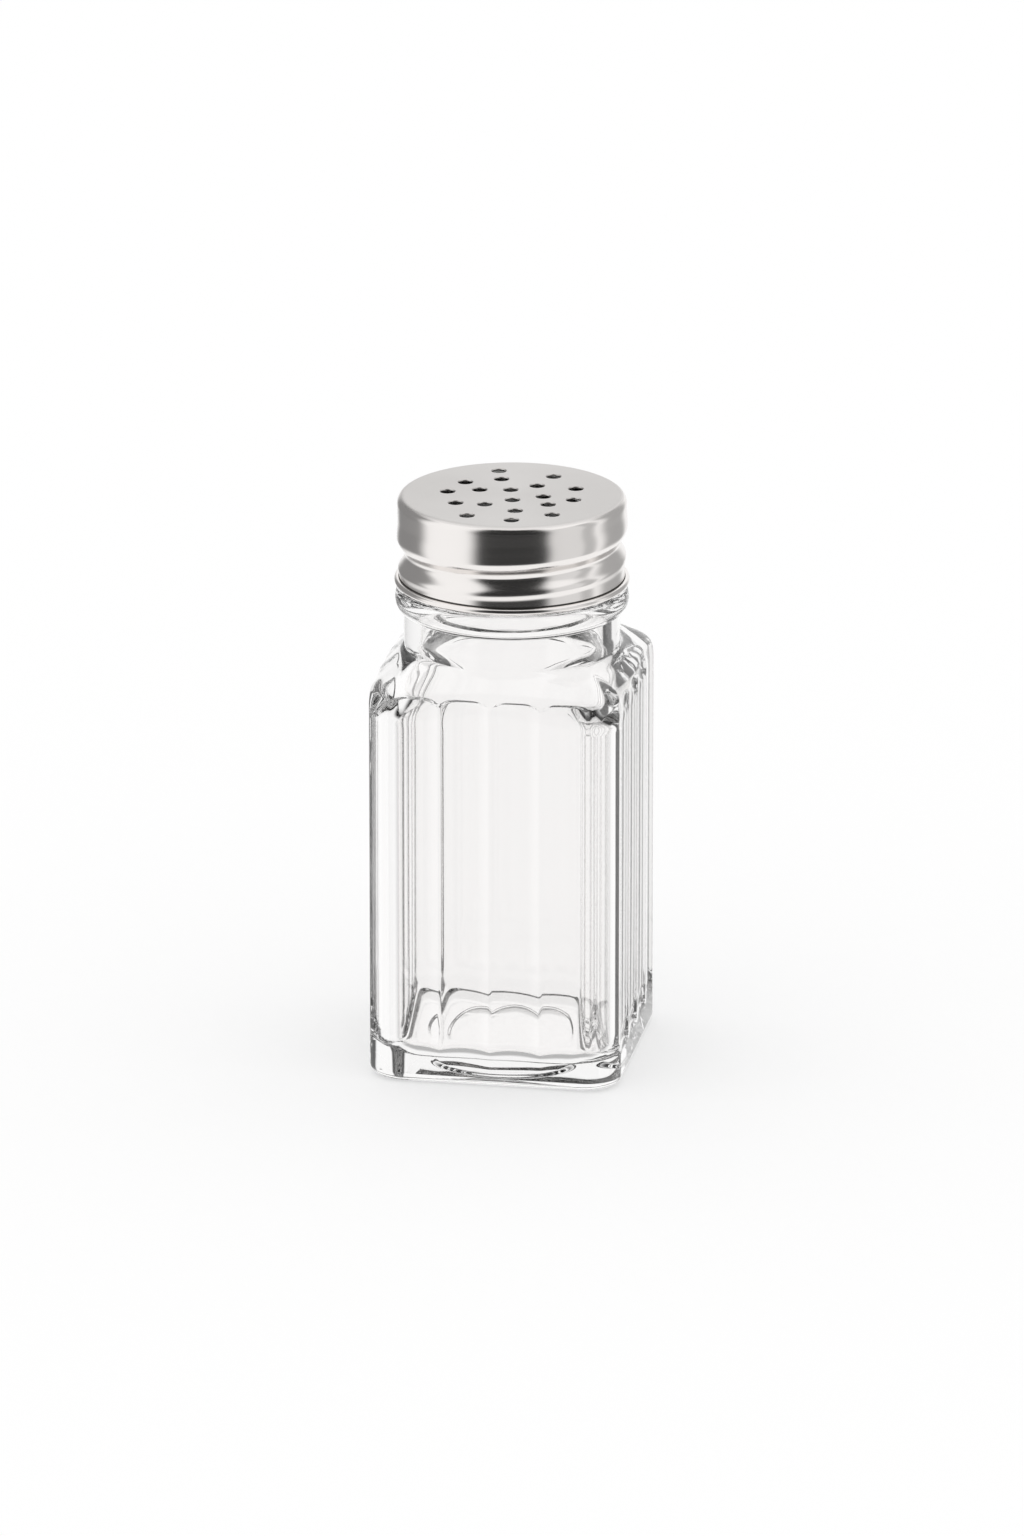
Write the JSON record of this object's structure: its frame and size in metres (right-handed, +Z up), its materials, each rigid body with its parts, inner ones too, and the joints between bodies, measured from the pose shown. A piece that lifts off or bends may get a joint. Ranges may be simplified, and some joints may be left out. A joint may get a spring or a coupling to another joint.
{
  "type": "parmesan shaker",
  "caption": "Square clear-glass shaker jar with concave upright flutes, a round neck, and a perforated sheet-steel screw cap that lifts as it unscrews.",
  "frame": {"origin": "on the table, under the middle of the jar's square base", "axes": "+Z up along the jar's axis, -Y out of the front fluted face, +X out of the right fluted face"},
  "size_m": [0.06, 0.06, 0.1367],
  "materials": {
    "clear_glass": "polished",
    "ring_plastic": "matte",
    "satin_steel": "satin"
  },
  "bodies": {
    "jar": {"glass_jar": "clear_glass"},
    "ring": {"sealing_ring": "ring_plastic"},
    "cap": {"cap_shell": "satin_steel"}
  },
  "joints": [
    {"name": "cap_rise", "type": "slide", "parent": "jar", "child": "ring", "axis": [0, 0, 1], "range_m": [0, 0.024]},
    {"name": "cap_turn", "type": "hinge", "parent": "ring", "child": "cap", "pos_m": [0, 0, 0.125], "axis": [0, 0, 1], "range_deg": [0, 1440]}
  ],
  "couplings": [
    {"joint": "cap_rise", "follows": "cap_turn", "m_per_rad": 0.00095493}
  ]
}
